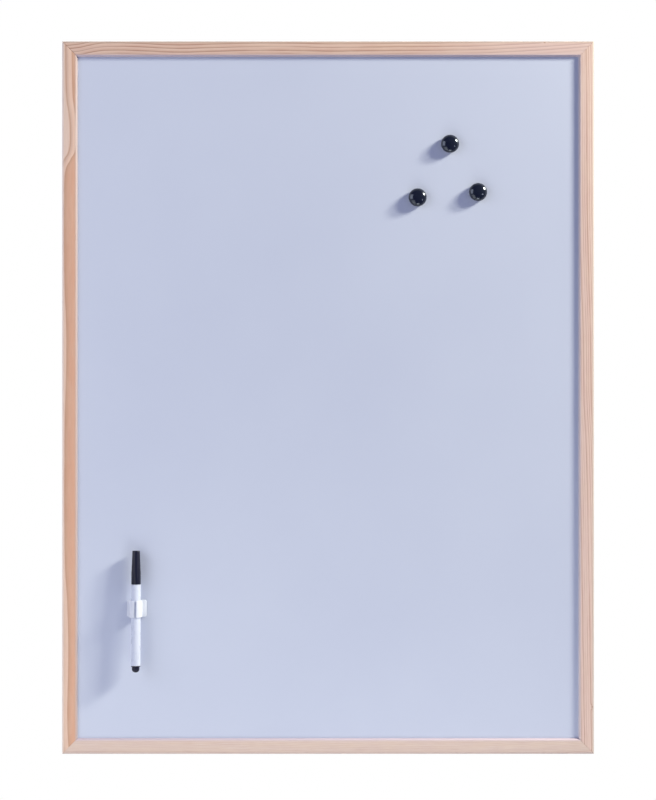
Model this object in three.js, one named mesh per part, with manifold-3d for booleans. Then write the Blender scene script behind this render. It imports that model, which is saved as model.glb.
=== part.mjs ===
// Wall-hung magnetic memo board: a mitred pine frame round a lacquered steel writing
// panel, with three button magnets, and a capped marker held by a clip glued to the panel.
// Millimetres. The origin lies on the wall plane behind the middle of the board.
// +X is to the right, +Z is up, and the writing face looks along -Y.

import * as THREE from 'three';
import { mergeVertices } from 'three/addons/utils/BufferGeometryUtils.js';
import Module from 'manifold-3d';

const wasm = await Module();
wasm.setup();

// Clearances and cutting
const pieceGap = 0.3;
const cutOverrun = 2;

// Frame rails: one grooved profile, mitred at both ends
const frameWidth = 598;
const frameHeight = 801;
const railWidth = 17;
const railDepth = 16;
const outerRound = 2;
const innerBevel = 1.6;
const backEase = 0.6;
const recessDepth = 3.6;
const grooveReach = 6;
const mitreGap = 0.3;

// Panel: lacquered steel sheet on hardboard, with a thin liner behind
const sheetThickness = 0.5;
const coreThickness = 3;
const linerThickness = 0.3;
const panelEdgeGap = 0.8;
const panelBackGap = 0.3;

// V-nails pressed into the back of each mitre, sized to the wood there
const nailThickness = 0.8;
const nailSink = 0.3;
const nailLegShare = 0.38;
const nailHeightShare = 0.75;
const nailApexShares = { outer: 0.2, inner: 0.52 };

// Toothed hanger plates let into the back of the top rail
const hangerWidth = 46;
const hangerThickness = 1.2;
const hangerCorner = 3;
const hangerSpreadShare = 0.25;
const hangerInsetShare = 0.26;
const windowHeight = 8;
const windowDrop = 0.9;
const windowSill = 2.6;
const windowSide = 8;
const toothDepth = 1.8;
const toothCount = 10;

// Countersunk screws of the hangers
const screwEndInset = 5;
const screwShankRadius = 1.3;
const screwHeadRadius = 2.8;
const screwHeadDepth = 1.6;
const screwHeadEdge = 0.3;
const screwTipLength = 2;
const screwLengthShare = 0.86;
const crossWidth = 0.6;
const crossLength = 3.2;
const crossDepth = 0.9;

// Button magnets: a black domed cap over a ferrite disc
const magnetRadius = 10.15;
const magnetHeight = 10;
const magnetFootShare = 0.847;
const magnetBellyShare = 0.43;
const magnetCapWall = 1.3;
const discThickness = 3.5;
const discRecess = 0.2;
const magnetPlaceShares = [
  { x: 0.4774, z: 0.7335 },
  { x: 0.3506, z: 0.5786 },
  { x: 0.587, z: 0.594 },
];

// Marker clip and its foam pad
const clipPlaceShare = { x: -0.7486, z: -0.6085 };
const clipWidth = 21.6;
const clipHeight = 18.8;
const clipBaseThickness = 1.8;
const clipWall = 1.55;
const clipPlay = 0.3;
const clipNeckLength = 1.2;
const clipNeckWidth = 7;
const clipNeckFlare = 0.8;
const clipSlit = 2.6;
const clipLeadIn = 0.5;
const clipTiltAngle = THREE.MathUtils.degToRad(2.2);
const padMargin = 0.8;
const padThickness = 0.95;

// Marker barrel, with the reduced neck that carries the cap
const barrelRadius = 5.3;
const barrelWall = 1.1;
const barrelLength = 90.4;
const neckStep = 1;
const neckWall = 1;
const neckLength = 12;
const neckFloor = 3;
const tailToClip = 70.8;

// End plug: flange, domed tail outside, spigot inside
const plugFlangeThickness = 1;
const plugFlangeLip = 1.05;
const plugTailLength = 6.6;
const plugTailRound = 3.9;
const plugSpigotLength = 6;

// Writing end: nib holder, nib and ink reservoir
const holderWall = 0.5;
const holderConeLength = 6.6;
const holderSpigotShare = 0.65;
const nibReveal = 5.4;
const nibTipLength = 2.4;
const nibTipShare = 0.4;
const reservoirEndGap = 1;

// Marker cap: straight skirt, short step, long taper, rounded crown
const capSkirtLength = 13.5;
const capStepLength = 3.4;
const capStep = 0.25;
const capTaper = 0.8;
const capCrownRound = 0.8;
const capRoof = 1;
const capWall = 0.65;
const capHeadroom = 12.5;
const capSocketClear = 0.4;
const capThroatStep = 0.15;
const capThroatClear = 2.1;

// Facet counts
const roundSteps = 5;
const barrelSides = 32;
const flankSteps = 4;
const domeSteps = 7;
const magnetSides = 32;
const screwSides = 16;
const sleeveSteps = 18;
const crownSteps = 3;

// Sizes that several pieces share
const faceDepth = railDepth - recessDepth;
const panelThickness = sheetThickness + coreThickness + linerThickness;
const grooveWidth = panelThickness + panelBackGap;
const woodBehindGroove = faceDepth - grooveWidth;
const panelInset = railWidth - grooveReach + panelEdgeGap;
const panelWidth = frameWidth - 2 * panelInset;
const panelHeight = frameHeight - 2 * panelInset;
const hangerInset = railWidth * hangerInsetShare;
const hangerOnRail = railWidth - hangerInset;
const hangerHeight = hangerOnRail + windowDrop + windowHeight + windowSill;
const screwLength = woodBehindGroove * screwLengthShare;
const nailHeight = woodBehindGroove * nailHeightShare;
const nailLeg = railWidth * nailLegShare;
const pocketRadius = magnetRadius * magnetFootShare - magnetCapWall;
const sleeveBore = barrelRadius + clipPlay;
const sleeveRadius = sleeveBore + clipWall;
const clipBackDistance = sleeveRadius + clipNeckLength + clipBaseThickness;
const barrelBore = barrelRadius - barrelWall;
const neckRadius = barrelRadius - neckStep;
const neckBore = neckRadius - neckWall;
const nibRadius = neckBore - 2 * pieceGap - holderWall;
const capThroatRadius = neckRadius - capThroatStep;
const capTopRadius = barrelRadius - capStep - capTaper;

// Stations along the marker, measured up from its tail
const barrelBottom = plugTailLength + plugFlangeThickness;
const shoulder = barrelBottom + barrelLength;
const neckTop = shoulder + neckLength;
const holderSeat = neckTop + pieceGap;
const nibTop = holderSeat + holderConeLength + nibReveal;
const capTop = nibTop + capHeadroom + capRoof;

// Finishes
const pine = new THREE.MeshStandardMaterial({ color: 0xd8b6a4, roughness: 0.62, metalness: 0 });
const lacquer = new THREE.MeshStandardMaterial({ color: 0xc6cddf, roughness: 0.3, metalness: 0 });
const hardboard = new THREE.MeshStandardMaterial({ color: 0x7a5a3c, roughness: 0.85, metalness: 0 });
const liner = new THREE.MeshStandardMaterial({ color: 0xb9b3a6, roughness: 0.8, metalness: 0 });
const zinc = new THREE.MeshStandardMaterial({ color: 0xa9adb0, roughness: 0.35, metalness: 0.9 });
const blackGloss = new THREE.MeshStandardMaterial({ color: 0x15151a, roughness: 0.15, metalness: 0 });
const ferrite = new THREE.MeshStandardMaterial({ color: 0x35353a, roughness: 0.6, metalness: 0.3 });
const whitePlastic = new THREE.MeshStandardMaterial({ color: 0xe6e9f2, roughness: 0.3, metalness: 0 });
const blackPlastic = new THREE.MeshStandardMaterial({ color: 0x1d1d26, roughness: 0.35, metalness: 0 });
const felt = new THREE.MeshStandardMaterial({ color: 0x1a1a20, roughness: 0.95, metalness: 0 });
const fibre = new THREE.MeshStandardMaterial({ color: 0x2b2b38, roughness: 0.95, metalness: 0 });
const foam = new THREE.MeshStandardMaterial({ color: 0xd9d9d6, roughness: 0.95, metalness: 0 });

// A closed solid for cutting, from a geometry and the matrix that places it
function solidOf(geometry, matrix) {
  const bare = geometry.clone();
  bare.deleteAttribute('normal');
  bare.deleteAttribute('uv');
  bare.applyMatrix4(matrix);
  const welded = mergeVertices(bare);
  const vertProperties = new Float32Array(welded.getAttribute('position').array);
  const triVerts = new Uint32Array(welded.getIndex().array);
  return new wasm.Manifold(new wasm.Mesh({ numProp: 3, vertProperties, triVerts }));
}

// The geometry of a cut solid
function geometryOf(solid) {
  const result = solid.getMesh();
  const geometry = new THREE.BufferGeometry();
  const positions = new Float32Array(result.vertProperties);
  geometry.setAttribute('position', new THREE.BufferAttribute(positions, 3));
  geometry.setIndex(new THREE.BufferAttribute(new Uint32Array(result.triVerts), 1));
  geometry.computeVertexNormals();
  return geometry;
}

// Cut placed cutters out of a placed mesh, which keeps its own position and rotation
function carve(mesh, cutters) {
  mesh.updateWorldMatrix(true, false);
  const home = mesh.matrixWorld.clone().invert();
  let solid = solidOf(mesh.geometry, new THREE.Matrix4());
  for (const cutter of cutters) {
    cutter.updateWorldMatrix(true, false);
    const inHome = home.clone().multiply(cutter.matrixWorld);
    solid = solid.subtract(solidOf(cutter.geometry, inHome));
  }
  mesh.geometry = geometryOf(solid);
}

// A named piece with its finish
function piece(name, geometry, material) {
  const mesh = new THREE.Mesh(geometry, material);
  mesh.name = name;
  return mesh;
}

// A round body from [radius, height] pairs, its axis along +Z
function turned(profile, sides) {
  const points = profile.map(([radius, height]) => new THREE.Vector2(radius, height));
  const geometry = new THREE.LatheGeometry(points, sides);
  geometry.rotateX(Math.PI / 2);
  return geometry;
}

// A plate drawn in X and Z, with its thickness running from y = 0 to the front
function plateOf(shape, thickness) {
  const options = { depth: thickness, bevelEnabled: false, curveSegments: roundSteps };
  const geometry = new THREE.ExtrudeGeometry(shape, options);
  geometry.rotateX(Math.PI / 2);
  return geometry;
}

// Rail section: x runs in from the outer edge, y runs forward from the wall
function railSection() {
  const grooveFloor = railWidth - grooveReach;
  const bevel = Math.min(innerBevel, recessDepth);
  const section = new THREE.Shape();
  section.moveTo(backEase, 0);
  section.lineTo(railWidth - backEase, 0);
  section.lineTo(railWidth, backEase);
  section.lineTo(railWidth, woodBehindGroove);
  section.lineTo(grooveFloor, woodBehindGroove);
  section.lineTo(grooveFloor, faceDepth);
  section.lineTo(railWidth, faceDepth);
  section.lineTo(railWidth, railDepth - bevel);
  section.lineTo(railWidth - bevel, railDepth);
  section.absarc(outerRound, railDepth - outerRound, outerRound, Math.PI / 2, Math.PI);
  section.lineTo(0, backEase);
  section.closePath();
  return section;
}

// A rail along X with its outer edge at z = 0, both ends cut at 45 degrees
function mitredRail(length) {
  const options = { depth: 1, bevelEnabled: false, curveSegments: roundSteps };
  const geometry = new THREE.ExtrudeGeometry(railSection(), options);
  const place = geometry.getAttribute('position');
  const setBack = mitreGap / Math.SQRT2;
  for (let i = 0; i < place.count; i += 1) {
    const across = place.getX(i);
    const forward = place.getY(i);
    const side = place.getZ(i) > 0 ? -1 : 1;
    const reach = length / 2 - across - setBack;
    place.setXYZ(i, side * reach, -forward, -across);
  }
  geometry.computeVertexNormals();
  return geometry;
}

// V-nail: two legs at a right angle, its height running forward, grown by a margin as a cutter
function vNail(margin, height) {
  const inside = nailThickness + margin;
  const far = nailLeg + margin;
  const outline = new THREE.Shape();
  outline.moveTo(-margin, -margin);
  outline.lineTo(far, -margin);
  outline.lineTo(far, inside);
  outline.lineTo(inside, inside);
  outline.lineTo(inside, far);
  outline.lineTo(-margin, far);
  outline.closePath();
  return plateOf(outline, height);
}

// Screw profile from its tip to the face of its head, grown by a margin for its hole
function screwProfile(margin, rise) {
  const tip = -screwLength - margin;
  return [
    [0, tip],
    [screwShankRadius + margin, tip + screwTipLength],
    [screwShankRadius + margin, -screwHeadDepth - margin],
    [screwHeadRadius + margin, -screwHeadEdge - margin],
    [screwHeadRadius + margin, rise],
    [0, rise],
  ];
}

// A screw's axis runs along Y, with the head's face at y = 0
function screwBody(margin, rise) {
  const geometry = turned(screwProfile(margin, rise), screwSides);
  geometry.rotateX(-Math.PI / 2);
  return geometry;
}

// A rectangle with round corners, its lower edge at the given height
function roundedPlate(width, height, low, corner) {
  const half = width / 2;
  const top = low + height;
  const outline = new THREE.Shape();
  outline.absarc(half - corner, low + corner, corner, -Math.PI / 2, 0);
  outline.absarc(half - corner, top - corner, corner, 0, Math.PI / 2);
  outline.absarc(corner - half, top - corner, corner, Math.PI / 2, Math.PI);
  outline.absarc(corner - half, low + corner, corner, Math.PI, Math.PI * 3 / 2);
  outline.closePath();
  return outline;
}

// The hanger's window: a plain lower edge and a row of teeth that point down
function toothedWindow(low) {
  const half = hangerWidth / 2 - windowSide;
  const roots = low + windowHeight;
  const pitch = 2 * half / toothCount;
  const path = new THREE.Path();
  path.moveTo(-half, low);
  path.lineTo(half, low);
  path.lineTo(half, roots);
  for (let tooth = 0; tooth < toothCount; tooth += 1) {
    const start = half - tooth * pitch;
    path.lineTo(start - pitch / 2, roots - toothDepth);
    path.lineTo(start - pitch, roots);
  }
  path.closePath();
  return path;
}

// Hanger plate, with z = 0 at its upper edge
function hangerPlate() {
  const outline = roundedPlate(hangerWidth, hangerHeight, -hangerHeight, hangerCorner);
  outline.holes.push(toothedWindow(windowSill - hangerHeight));
  return plateOf(outline, hangerThickness);
}

// What the rail loses to a hanger plate
function hangerRebate() {
  const width = hangerWidth + 2 * pieceGap;
  const height = hangerHeight + 2 * pieceGap;
  const outline = roundedPlate(width, height, -hangerHeight - pieceGap, hangerCorner + pieceGap);
  return plateOf(outline, hangerThickness + cutOverrun);
}

// Black cap of a magnet: pocket at the back, bulging flank, domed front, axis along +Z
function magnetCap() {
  const belly = magnetHeight * magnetBellyShare;
  const ceiling = discRecess + discThickness + pieceGap;
  const footAngle = Math.acos(magnetFootShare);
  const flankScale = belly / Math.sin(footAngle);
  const domeScale = magnetHeight - belly;
  const profile = [[0, ceiling], [pocketRadius, ceiling], [pocketRadius, 0]];
  profile.push([magnetRadius * magnetFootShare, 0]);
  for (let step = 1; step < flankSteps; step += 1) {
    const angle = footAngle * (1 - step / flankSteps);
    profile.push([magnetRadius * Math.cos(angle), belly - flankScale * Math.sin(angle)]);
  }
  for (let step = 0; step < domeSteps; step += 1) {
    const angle = Math.PI / 2 * step / domeSteps;
    profile.push([magnetRadius * Math.cos(angle), belly + domeScale * Math.sin(angle)]);
  }
  profile.push([0, magnetHeight]);
  return turned(profile, magnetSides);
}

// Ferrite disc in the cap's pocket
function magnetDisc() {
  const radius = pocketRadius - pieceGap;
  const top = discRecess + discThickness;
  const profile = [[0, discRecess], [radius, discRecess], [radius, top], [0, top]];
  return turned(profile, magnetSides);
}

// Clip section, seen along the marker: +Y is towards the panel, the slit faces the viewer
function clipSection() {
  const halfWidth = clipWidth / 2;
  const halfNeck = clipNeckWidth / 2;
  const halfSlit = clipSlit / 2;
  const baseFront = sleeveRadius + clipNeckLength;
  const neckAngle = Math.acos(halfNeck / sleeveRadius);
  const outerLip = Math.asin(halfSlit / sleeveRadius);
  const innerLip = Math.asin(halfSlit / sleeveBore);
  const down = -Math.PI / 2;
  const section = new THREE.Shape();
  section.moveTo(-halfWidth, baseFront);
  section.lineTo(-halfNeck - clipNeckFlare, baseFront);
  section.absarc(0, 0, sleeveRadius, Math.PI - neckAngle, Math.PI - down - outerLip, false);
  section.absarc(0, 0, sleeveBore, Math.PI - down - innerLip, down + innerLip, true);
  section.absarc(0, 0, sleeveRadius, down + outerLip, neckAngle, false);
  section.lineTo(halfNeck + clipNeckFlare, baseFront);
  section.lineTo(halfWidth, baseFront);
  section.lineTo(halfWidth, clipBackDistance);
  section.lineTo(-halfWidth, clipBackDistance);
  section.closePath();
  return section;
}

// Clip body, centred on the marker's axis and on its own height
function clipBody() {
  const options = { depth: clipHeight, bevelEnabled: false, curveSegments: sleeveSteps };
  const geometry = new THREE.ExtrudeGeometry(clipSection(), options);
  geometry.translate(0, 0, -clipHeight / 2);
  return geometry;
}

// Cone that opens the sleeve's mouth, wide end up
function leadInCone() {
  const wide = sleeveBore + clipLeadIn + cutOverrun;
  const profile = [[0, -clipLeadIn], [sleeveBore, -clipLeadIn], [wide, cutOverrun], [0, cutOverrun]];
  return turned(profile, barrelSides);
}

// Foam pad: flat on the writing face, sloped in front to follow the tilted clip
function clipPad() {
  const halfWidth = clipWidth / 2 - padMargin;
  const halfHeight = clipHeight / 2 - padMargin;
  const slope = halfHeight * Math.tan(clipTiltAngle);
  const outline = new THREE.Shape();
  outline.moveTo(0, -halfHeight);
  outline.lineTo(0, halfHeight);
  outline.lineTo(slope - padThickness, halfHeight);
  outline.lineTo(-slope - padThickness, -halfHeight);
  outline.closePath();
  const geometry = new THREE.ExtrudeGeometry(outline, { depth: halfWidth * 2, bevelEnabled: false });
  geometry.translate(0, 0, -halfWidth);
  const turn = new THREE.Matrix4();
  turn.makeBasis(new THREE.Vector3(0, 1, 0), new THREE.Vector3(0, 0, 1), new THREE.Vector3(1, 0, 0));
  geometry.applyMatrix4(turn);
  return geometry;
}

// Barrel: a tube whose reduced neck carries the cap
function barrel() {
  const neckRoot = shoulder - neckFloor;
  const profile = [
    [barrelBore, barrelBottom],
    [barrelRadius, barrelBottom],
    [barrelRadius, shoulder],
    [neckRadius, shoulder],
    [neckRadius, neckTop],
    [neckBore, neckTop],
    [neckBore, neckRoot],
    [barrelBore, neckRoot],
    [barrelBore, barrelBottom],
  ];
  return turned(profile, barrelSides);
}

// End plug: domed tail, flange flush with the barrel, spigot in the bore
function endPlug() {
  const tailRadius = barrelRadius - plugFlangeLip;
  const spigot = barrelBore - pieceGap;
  const flangeTop = barrelBottom - pieceGap;
  const spigotTop = barrelBottom + plugSpigotLength;
  const profile = [[0, 0]];
  for (let step = 0; step <= roundSteps; step += 1) {
    const angle = Math.PI / 2 * step / roundSteps;
    const radius = tailRadius - plugTailRound * (1 - Math.sin(angle));
    profile.push([radius, plugTailRound * (1 - Math.cos(angle))]);
  }
  profile.push([tailRadius, plugTailLength]);
  profile.push([barrelRadius, plugTailLength]);
  profile.push([barrelRadius, flangeTop]);
  profile.push([spigot, flangeTop]);
  profile.push([spigot, spigotTop]);
  profile.push([0, spigotTop]);
  return turned(profile, barrelSides);
}

// Ink reservoir: a fibre rod between the plug and the neck
function inkReservoir() {
  const radius = barrelBore - pieceGap;
  const top = shoulder - neckFloor - pieceGap;
  const bottom = barrelBottom + plugSpigotLength + reservoirEndGap;
  const profile = [[0, bottom], [radius, bottom], [radius, top], [0, top]];
  return turned(profile, barrelSides);
}

// Nib holder: a spigot in the neck and a cone in front of it, bored for the nib
function nibHolder() {
  const bore = nibRadius + pieceGap;
  const spigot = bore + holderWall;
  const bottom = holderSeat - neckLength * holderSpigotShare;
  const top = holderSeat + holderConeLength;
  const profile = [
    [bore, bottom],
    [spigot, bottom],
    [spigot, holderSeat],
    [capThroatRadius - pieceGap, holderSeat],
    [spigot, top],
    [bore, top],
    [bore, bottom],
  ];
  return turned(profile, barrelSides);
}

// Nib: a felt rod from the reservoir to its bullet tip
function markerNib() {
  const bottom = shoulder - neckFloor;
  const tipRadius = nibRadius * nibTipShare;
  const profile = [
    [0, bottom],
    [nibRadius, bottom],
    [nibRadius, nibTop - nibTipLength],
    [tipRadius, nibTop],
    [0, nibTop],
  ];
  return turned(profile, barrelSides);
}

// Cap: skirt, step, taper and crown outside, socket, throat and nib chamber inside
function markerCap() {
  const mouth = shoulder + pieceGap;
  const socket = neckRadius + pieceGap;
  const chamber = capTopRadius - capWall;
  const ceiling = capTop - capRoof;
  const socketTop = neckTop + capSocketClear;
  const throatTop = holderSeat + holderConeLength + capThroatClear;
  const skirtTop = mouth + capSkirtLength;
  const profile = [
    [0, ceiling],
    [chamber, ceiling],
    [chamber, throatTop],
    [capThroatRadius, throatTop - (capThroatRadius - chamber)],
    [capThroatRadius, socketTop],
    [socket, socketTop],
    [socket, mouth],
    [barrelRadius, mouth],
    [barrelRadius, skirtTop],
    [barrelRadius - capStep, skirtTop + capStepLength],
  ];
  for (let step = 0; step <= crownSteps; step += 1) {
    const angle = Math.PI / 2 * step / crownSteps;
    const radius = capTopRadius - capCrownRound * (1 - Math.cos(angle));
    profile.push([radius, capTop - capCrownRound * (1 - Math.sin(angle))]);
  }
  profile.push([0, capTop]);
  return turned(profile, barrelSides);
}

const board = new THREE.Group();

// Rails
const railTurns = {
  top: { length: frameWidth, angle: 0, x: 0, z: frameHeight / 2 },
  right: { length: frameHeight, angle: Math.PI / 2, x: frameWidth / 2, z: 0 },
  bottom: { length: frameWidth, angle: Math.PI, x: 0, z: -frameHeight / 2 },
  left: { length: frameHeight, angle: -Math.PI / 2, x: -frameWidth / 2, z: 0 },
};
const rails = {};
for (const [side, turn] of Object.entries(railTurns)) {
  const rail = piece(`rail_${side}`, mitredRail(turn.length), pine);
  rail.position.set(turn.x, 0, turn.z);
  rail.rotation.y = turn.angle;
  rails[side] = rail;
  board.add(rail);
}

// Panel layers, from the writing face back
let layerFront = -faceDepth;
const layers = [
  { name: 'steel_face', thickness: sheetThickness, material: lacquer },
  { name: 'hardboard_core', thickness: coreThickness, material: hardboard },
  { name: 'back_liner', thickness: linerThickness, material: liner },
];
for (const layer of layers) {
  const geometry = new THREE.BoxGeometry(panelWidth, layer.thickness, panelHeight);
  const sheet = piece(layer.name, geometry, layer.material);
  sheet.position.y = layerFront + layer.thickness / 2;
  layerFront += layer.thickness;
  board.add(sheet);
}

// V-nails and their slots, two to a corner
const corners = [
  { name: 'bottom_left', turn: 0, x: -1, z: -1, joins: ['bottom', 'left'] },
  { name: 'top_left', turn: 1, x: -1, z: 1, joins: ['left', 'top'] },
  { name: 'top_right', turn: 2, x: 1, z: 1, joins: ['top', 'right'] },
  { name: 'bottom_right', turn: 3, x: 1, z: -1, joins: ['right', 'bottom'] },
];
const railCutters = { top: [], right: [], bottom: [], left: [] };
const slotHeight = cutOverrun + nailSink + nailHeight + pieceGap;
for (const corner of corners) {
  for (const [place, share] of Object.entries(nailApexShares)) {
    const inset = railWidth * share;
    const nail = piece(`v_nail_${corner.name}_${place}`, vNail(0, nailHeight), zinc);
    nail.position.x = corner.x * (frameWidth / 2 - inset);
    nail.position.y = -nailSink;
    nail.position.z = corner.z * (frameHeight / 2 - inset);
    nail.rotation.y = corner.turn * Math.PI / 2;
    board.add(nail);
    const slot = new THREE.Mesh(vNail(pieceGap, slotHeight));
    slot.position.copy(nail.position).setY(cutOverrun);
    slot.rotation.copy(nail.rotation);
    for (const side of corner.joins) {
      railCutters[side].push(slot);
    }
  }
}

// Hangers, each in its rebate with two screws
const screwDrop = hangerOnRail / 2;
const screwReach = hangerWidth / 2 - screwEndInset;
for (const [side, sign] of [['left', -1], ['right', 1]]) {
  const plate = piece(`hanger_${side}`, hangerPlate(), zinc);
  plate.position.set(sign * frameWidth * hangerSpreadShare, 0, frameHeight / 2 - hangerInset);
  board.add(plate);
  const rebate = new THREE.Mesh(hangerRebate());
  rebate.position.copy(plate.position).setY(cutOverrun);
  railCutters.top.push(rebate);
  const holes = [];
  for (const [end, step] of [['a', -1], ['b', 1]]) {
    const screw = piece(`hanger_screw_${side}_${end}`, screwBody(0, 0), zinc);
    screw.position.copy(plate.position);
    screw.position.x += step * screwReach;
    screw.position.z -= screwDrop;
    board.add(screw);
    const hole = new THREE.Mesh(screwBody(pieceGap, cutOverrun));
    hole.position.copy(screw.position);
    holes.push(hole);
    const crosses = [];
    for (const [long, wide] of [[crossLength, crossWidth], [crossWidth, crossLength]]) {
      const cross = new THREE.Mesh(new THREE.BoxGeometry(long, 2 * crossDepth, wide));
      cross.position.copy(screw.position);
      crosses.push(cross);
    }
    carve(screw, crosses);
  }
  carve(plate, holes);
  railCutters.top.push(...holes);
}
for (const [side, cutters] of Object.entries(railCutters)) {
  carve(rails[side], cutters);
}

// Magnets on the writing face
magnetPlaceShares.forEach((share, index) => {
  const magnet = new THREE.Group();
  magnet.position.set(share.x * panelWidth / 2, -faceDepth, share.z * panelHeight / 2);
  magnet.rotation.x = Math.PI / 2;
  magnet.add(piece(`magnet_cap_${index + 1}`, magnetCap(), blackGloss));
  magnet.add(piece(`magnet_disc_${index + 1}`, magnetDisc(), ferrite));
  board.add(magnet);
});

// Clip and marker share one axis, tilted so that the tail stands further off the panel
const axisDistance = padThickness + pieceGap + clipBackDistance * Math.cos(clipTiltAngle);
const axis = new THREE.Group();
axis.position.x = clipPlaceShare.x * panelWidth / 2;
axis.position.y = -faceDepth - axisDistance;
axis.position.z = clipPlaceShare.z * panelHeight / 2;
axis.rotation.x = -clipTiltAngle;
board.add(axis);
const clip = piece('marker_clip', clipBody(), whitePlastic);
axis.add(clip);
const leadIns = [];
for (const end of [1, -1]) {
  const cone = new THREE.Mesh(leadInCone());
  cone.position.copy(axis.position);
  cone.rotation.copy(axis.rotation);
  cone.translateZ(end * clipHeight / 2);
  cone.rotateX(end > 0 ? 0 : Math.PI);
  leadIns.push(cone);
}
carve(clip, leadIns);
const pad = piece('clip_pad', clipPad(), foam);
pad.position.copy(axis.position).setY(-faceDepth);
pad.position.z -= clipBackDistance * Math.sin(clipTiltAngle);
board.add(pad);

const marker = new THREE.Group();
marker.position.z = -tailToClip;
marker.add(piece('marker_barrel', barrel(), whitePlastic));
marker.add(piece('end_plug', endPlug(), blackPlastic));
marker.add(piece('ink_reservoir', inkReservoir(), fibre));
marker.add(piece('nib_holder', nibHolder(), blackPlastic));
marker.add(piece('marker_nib', markerNib(), felt));
marker.add(piece('marker_cap', markerCap(), blackPlastic));
axis.add(marker);

export default board;
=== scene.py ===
# %% [markdown]
# # A magnetic memo board in a pine frame
#
# This lesson dresses a imported CAD model of a memo board in Blender. The real
# board is a lacquered steel panel in four mitred pine rails, with three black
# button magnets, and a capped marker that hangs in a white plastic clip. The
# CAD model gives every size and place, and it moves the parts. Blender gives
# the rounded edges, the turned shapes and the finishes.
#
# First the imported model is loaded. The dressed model has to stay inside it.

# %% Load the imported model
import math
from contextlib import contextmanager

import bmesh
import bpy
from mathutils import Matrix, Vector


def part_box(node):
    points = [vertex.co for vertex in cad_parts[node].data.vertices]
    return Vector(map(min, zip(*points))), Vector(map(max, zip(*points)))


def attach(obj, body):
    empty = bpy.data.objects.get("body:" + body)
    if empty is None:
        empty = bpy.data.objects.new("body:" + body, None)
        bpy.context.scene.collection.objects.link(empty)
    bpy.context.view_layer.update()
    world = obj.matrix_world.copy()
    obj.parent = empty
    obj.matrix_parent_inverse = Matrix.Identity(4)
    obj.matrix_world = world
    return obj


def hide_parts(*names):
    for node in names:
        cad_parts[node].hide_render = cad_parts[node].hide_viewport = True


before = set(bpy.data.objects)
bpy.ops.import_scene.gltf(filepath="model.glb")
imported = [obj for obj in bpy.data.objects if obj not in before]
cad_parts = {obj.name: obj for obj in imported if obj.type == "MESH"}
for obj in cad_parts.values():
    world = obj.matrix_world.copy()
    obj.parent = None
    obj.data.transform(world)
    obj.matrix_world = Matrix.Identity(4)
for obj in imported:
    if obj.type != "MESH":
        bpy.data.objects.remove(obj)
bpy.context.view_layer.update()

scene = bpy.context.scene

# %% [markdown]
# ## The camera
#
# A frontal product photograph is taken from far off with a long lens, so the
# frame's sides stay parallel. The camera stands two metres in front of the
# rails, level with the middle of the board. The lens follows from the size
# at which the frame appears: 1780 picture units of focal length on a
# picture that is 800 units high.

# %% Camera
FOCAL_UNITS = 1780
PICTURE_HEIGHT = 800
SENSOR_MM = 36
CAMERA_PLACE = (0.0, -2.016, -0.0027)

bpy.ops.object.select_all(action="DESELECT")
bpy.ops.object.camera_add(location=CAMERA_PLACE, rotation=(math.radians(90), 0, 0))
camera = bpy.context.object
camera.data.sensor_width = SENSOR_MM
camera.data.lens = FOCAL_UNITS / PICTURE_HEIGHT * SENSOR_MM
scene.camera = camera
print("lens, mm:", round(camera.data.lens, 2))

# %% [markdown]
# ## Light
#
# The shadows in such a photograph tell where its lamps stood. Here a long
# shadow falls to the lower left of each magnet. It is crisp at its root and
# melts away at its tip, and the marker's shadow, further down, is paler and
# points a little more steeply. So the main light stands at the upper right,
# only three metres away, and rakes over the board. It is as deep as it is wide,
# which is what melts the tips, and here two soft boxes make it up, one further
# from the wall than the other. They face the room rather than the board, so
# that their light falls off towards the lower left. There three weak, broad
# lamps fill the shadows and even out the board: at the upper left, at the lower
# left and below.
#
# Three more lamps are small matters. A very small one at the right gives the
# magnets their second glint. A low one stands for the light that a white wall
# throws on the frame's left edge. The last is behind the board, and only
# views of the back show it.
#
# Area lamps are given in watts. At every place of the board they add up to
# about one with the room's light, so that a colour renders about as it is
# written.

# %% Lamps
def soft_box(place, size, watts, colour=(1, 1, 1), target=(0, 0, 0)):
    """An area lamp that shines at a target, or else at the middle of the board."""
    bpy.ops.object.light_add(type="AREA", location=place)
    lamp = bpy.context.object
    lamp.rotation_euler = (Vector(target) - Vector(place)).to_track_quat("-Z", "Y").to_euler()
    lamp.data.size, lamp.data.energy, lamp.data.color = size, watts, colour


WARM = (1.0, 0.966, 0.784)
MAIN_FACING = Vector((-0.324, 1.4565, 0.162))
LEFT_EDGE = (-0.3, -0.01, 0.0)

for distance, watts in ((0.8, 281), (1.2, 166)):
    place = Vector((2.61, -distance, 1.74))
    soft_box(place, 0.62, watts, WARM, target=place + MAIN_FACING)
# Three fills, at the upper left, at the lower left and below
soft_box((-1.3, -0.9, 0.45), 1.1, 9.0, (0.96, 0.97, 1.0))
soft_box((-0.62, -0.72, -0.55), 0.8, 2.75, (0.99, 0.99, 0.89))
soft_box((0.2, -0.55, -0.8), 0.4, 1.75, (1.0, 1.0, 0.93))
# The second glint, the light off the wall, and the lamp behind the board
soft_box((1.42, -1.45, -0.2), 0.16, 1.9)
soft_box((-1.1, 0.15, 0.0), 0.3, 1.8, target=LEFT_EDGE)
soft_box((-0.6, 2.6, 1.5), 1.6, 67, WARM)

# %% [markdown]
# ## A small language for finishes
#
# A finish in Blender is a graph of nodes. Written as calls, even a short sum
# takes many lines. A small class that wraps a socket makes the sums readable:
# `1 - mask` adds a Math node by itself. All other nodes come from one method,
# which sets a node's settings first and then fills or links its sockets.

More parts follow.
